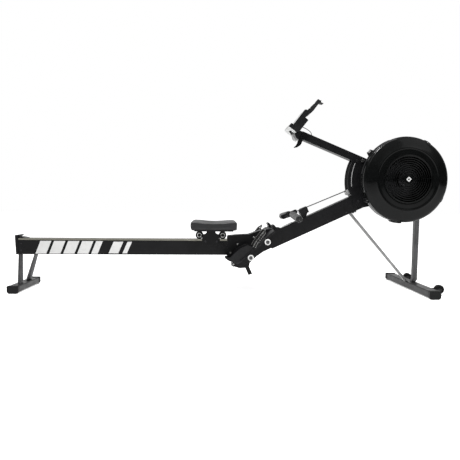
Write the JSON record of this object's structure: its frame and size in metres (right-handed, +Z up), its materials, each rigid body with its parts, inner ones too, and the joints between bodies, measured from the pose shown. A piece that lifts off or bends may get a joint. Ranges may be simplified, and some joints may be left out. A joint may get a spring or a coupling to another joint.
{
  "type": "rowing machine",
  "caption": "Air-resistance rowing machine: long steel rail with a sliding seat, footrests, chain drive to a caged fan, and a folding monitor arm.",
  "frame": {"origin": "Middle of the machine's footprint, on the floor it stands on.", "axes": "+X runs along the rail from the rear foot to the fan, +Z is up, and the fan's grille faces -Y."},
  "size_m": [2.4465, 0.595, 1.1162],
  "materials": {
    "black_paint": "satin",
    "grey_paint": "satin metallic",
    "steel": "satin",
    "dark_steel": "dull",
    "black_plastic": "fine grained",
    "gloss_plastic": "gloss",
    "silver_plastic": "satin",
    "rubber": "matte",
    "grip_foam": "matte",
    "webbing": "woven",
    "seat_foam": "satin moulded skin"
  },
  "bodies": {
    "frame": {"rail": "black_paint", "stainless_track": "steel", "rail_end_stop": "black_paint", "rear_crossbar": "grey_paint", "rear_foot_near": "black_plastic", "rear_foot_far": "black_plastic", "rear_leg_near": "grey_paint", "rear_leg_far": "grey_paint", "front_crossbar": "grey_paint", "front_foot_near": "black_plastic", "front_foot_far": "black_plastic", "front_post": "grey_paint", "front_strut": "grey_paint", "main_beam": "black_paint", "junction_housing": "black_paint", "foot_rod_upper": "steel", "foot_rod_lower": "steel", "head_plate_near": "black_paint", "head_plate_far": "black_paint", "bearing_near": "steel", "bearing_far": "steel", "drive_shroud": "black_plastic", "fan_cover_near": "gloss_plastic", "fan_cover_back": "gloss_plastic", "fan_grille": "gloss_plastic", "foot_plate_near": "black_plastic", "foot_plate_far": "black_plastic", "foot_strap_near": "webbing", "foot_strap_far": "webbing", "chain_fairlead": "silver_plastic", "handle_cradle": "black_plastic", "chain_return": "dark_steel", "shock_cord": "webbing", "arm_pivot_pin": "steel"},
    "seat": {"seat_cushion": "seat_foam", "seat_carriage": "black_paint"},
    "roller_rear_near": {"seat_roller_rear_near": "rubber"},
    "roller_rear_far": {"seat_roller_rear_far": "rubber"},
    "roller_front_near": {"seat_roller_front_near": "rubber"},
    "roller_front_far": {"seat_roller_front_far": "rubber"},
    "chain": {"chain_run": "steel"},
    "handle": {"handle_yoke": "black_plastic", "handle_grip_near": "grip_foam", "handle_grip_far": "grip_foam"},
    "sprocket": {"chain_sprocket": "steel"},
    "flywheel": {"flywheel": "dark_steel", "flywheel_axle": "steel"},
    "damper": {"damper_lever": "black_plastic"},
    "heel_near": {"heel_cup_near": "black_plastic"},
    "heel_far": {"heel_cup_far": "black_plastic"},
    "arm": {"monitor_arm": "black_paint", "monitor_bracket": "black_plastic", "monitor_cable": "rubber"},
    "monitor": {"monitor_body": "black_plastic"},
    "holder": {"device_holder": "black_plastic"},
    "jaw": {"holder_jaw": "black_plastic"},
    "lock_lever": {"frame_lock_lever": "black_paint"},
    "caster": {"frame_caster": "silver_plastic"},
    "wheel_near": {"transport_wheel_near": "rubber"},
    "wheel_far": {"transport_wheel_far": "rubber"}
  },
  "joints": [
    {"name": "seat_slide", "type": "slide", "parent": "frame", "child": "seat", "axis": [1, 0, 0], "range_m": [-0.95, 0]},
    {"name": "roller_rear_near_spin", "type": "hinge", "parent": "seat", "child": "roller_rear_near", "pos_m": [-0.164, 0, 0.3205], "axis": [0, 1, 0], "continuous": true},
    {"name": "roller_rear_far_spin", "type": "hinge", "parent": "seat", "child": "roller_rear_far", "pos_m": [-0.164, 0, 0.3205], "axis": [0, 1, 0], "continuous": true},
    {"name": "roller_front_near_spin", "type": "hinge", "parent": "seat", "child": "roller_front_near", "pos_m": [-0.0274, 0, 0.3205], "axis": [0, 1, 0], "continuous": true},
    {"name": "roller_front_far_spin", "type": "hinge", "parent": "seat", "child": "roller_front_far", "pos_m": [-0.0274, 0, 0.3205], "axis": [0, 1, 0], "continuous": true},
    {"name": "chain_swing", "type": "hinge", "parent": "frame", "child": "chain", "pos_m": [0.712, 0, 0.591], "axis": [0, 1, 0], "range_deg": [0, 35.6]},
    {"name": "handle_pull", "type": "slide", "parent": "chain", "child": "handle", "axis": [-0.9212, 0, -0.3891], "range_m": [0, 1], "stiffness_N_per_m": 20, "springref_m": -1},
    {"name": "sprocket_spin", "type": "hinge", "parent": "frame", "child": "sprocket", "pos_m": [0.987, 0, 0.648], "axis": [0, 1, 0], "continuous": true},
    {"name": "flywheel_spin", "type": "hinge", "parent": "frame", "child": "flywheel", "pos_m": [0.987, 0, 0.648], "axis": [0, 1, 0], "continuous": true},
    {"name": "damper_turn", "type": "hinge", "parent": "frame", "child": "damper", "pos_m": [0.987, 0, 0.648], "axis": [0, 1, 0], "range_deg": [0, 34]},
    {"name": "heel_slide_near", "type": "slide", "parent": "frame", "child": "heel_near", "axis": [0.749, 0, 0.6626], "range_m": [0, 0.09]},
    {"name": "heel_slide_far", "type": "slide", "parent": "frame", "child": "heel_far", "axis": [0.749, 0, 0.6626], "range_m": [0, 0.09]},
    {"name": "arm_raise", "type": "hinge", "parent": "frame", "child": "arm", "pos_m": [0.7873, 0, 0.7622], "axis": [0, 1, 0], "range_deg": [0, 54]},
    {"name": "monitor_tilt", "type": "hinge", "parent": "arm", "child": "monitor", "pos_m": [0.4063, 0, 0.9162], "axis": [0, 1, 0], "range_deg": [-14, 11], "deforming": ["monitor_cable"]},
    {"name": "holder_tilt", "type": "hinge", "parent": "monitor", "child": "holder", "pos_m": [0.47, 0, 1.033], "axis": [0, 1, 0], "range_deg": [-17, 28]},
    {"name": "jaw_slide", "type": "slide", "parent": "holder", "child": "jaw", "axis": [0.5878, 0, 0.809], "range_m": [0, 0.025], "stiffness_N_per_m": 120, "springref_m": -0.02},
    {"name": "lock_swing", "type": "hinge", "parent": "frame", "child": "lock_lever", "pos_m": [0.111, 0, 0.15], "axis": [0, -1, 0], "range_deg": [0, 50]},
    {"name": "caster_spin", "type": "hinge", "parent": "frame", "child": "caster", "pos_m": [0.0375, 0, 0.15], "axis": [0, 1, 0], "continuous": true},
    {"name": "wheel_spin_near", "type": "hinge", "parent": "frame", "child": "wheel_near", "pos_m": [1.185, -0.195, 0.0365], "axis": [0, 1, 0], "continuous": true},
    {"name": "wheel_spin_far", "type": "hinge", "parent": "frame", "child": "wheel_far", "pos_m": [1.185, 0.195, 0.0365], "axis": [0, 1, 0], "continuous": true}
  ],
  "couplings": [
    {"joint": "roller_rear_near_spin", "follows": "seat_slide", "rad_per_m": 45.045},
    {"joint": "roller_rear_far_spin", "follows": "seat_slide", "rad_per_m": 45.045},
    {"joint": "roller_front_near_spin", "follows": "seat_slide", "rad_per_m": 45.045},
    {"joint": "roller_front_far_spin", "follows": "seat_slide", "rad_per_m": 45.045},
    {"joint": "chain_swing", "follows": "handle_pull", "rad_per_m": 0.62},
    {"joint": "sprocket_spin", "follows": "handle_pull", "rad_per_m": -35.09}
  ]
}
